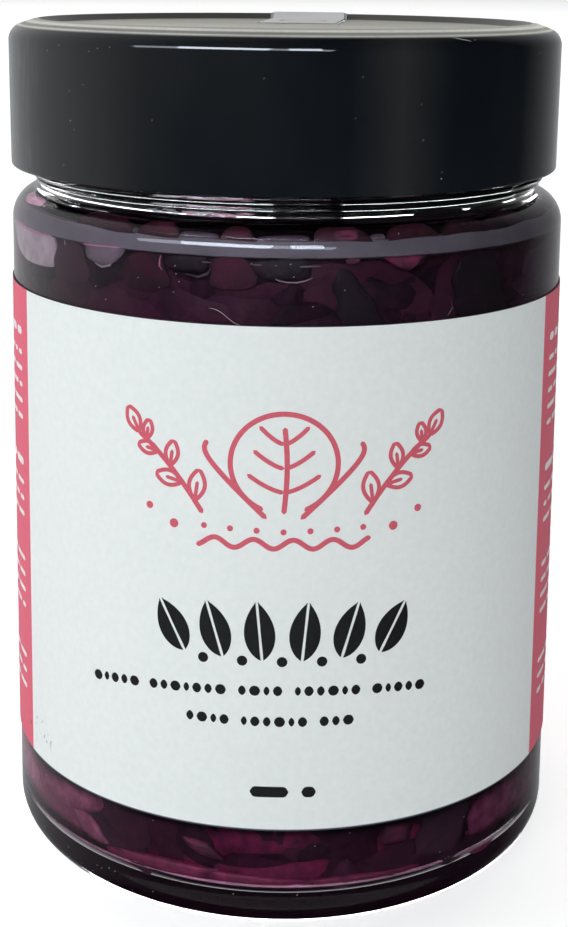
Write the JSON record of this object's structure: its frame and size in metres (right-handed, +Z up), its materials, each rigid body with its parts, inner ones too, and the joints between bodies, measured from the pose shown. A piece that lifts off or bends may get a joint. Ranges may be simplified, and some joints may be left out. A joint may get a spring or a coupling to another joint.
{
  "type": "jar of fermented red cabbage",
  "caption": "Closed straight-sided glass jar of fermented shredded red cabbage in brine, with a black screw lid, a wrap label and a paper seal strip.",
  "frame": {"origin": "centre of the base, on the plane that the foot ring stands on", "axes": "+Z up along the jar's axis, -Y towards the middle of the label's front panel, +X to its right"},
  "size_m": [0.0737, 0.0736, 0.1097],
  "materials": {
    "glass": "clear moulded glass",
    "lid": "satin black lacquer with dust and fine scuffs",
    "label": "matt label paper with a fine fibre texture",
    "print_coral": "matt coral ink",
    "print_dark": "matt black ink",
    "seal": "thin white coated paper",
    "cabbage": "wet shredded leaf, dark purple with paler cut edges",
    "brine": "clear dark purple liquid"
  },
  "bodies": {
    "root": {"glass_jar": "glass", "lid": "lid", "label": "label", "seal_strip": "seal", "cabbage": "cabbage"}
  },
  "joints": []
}
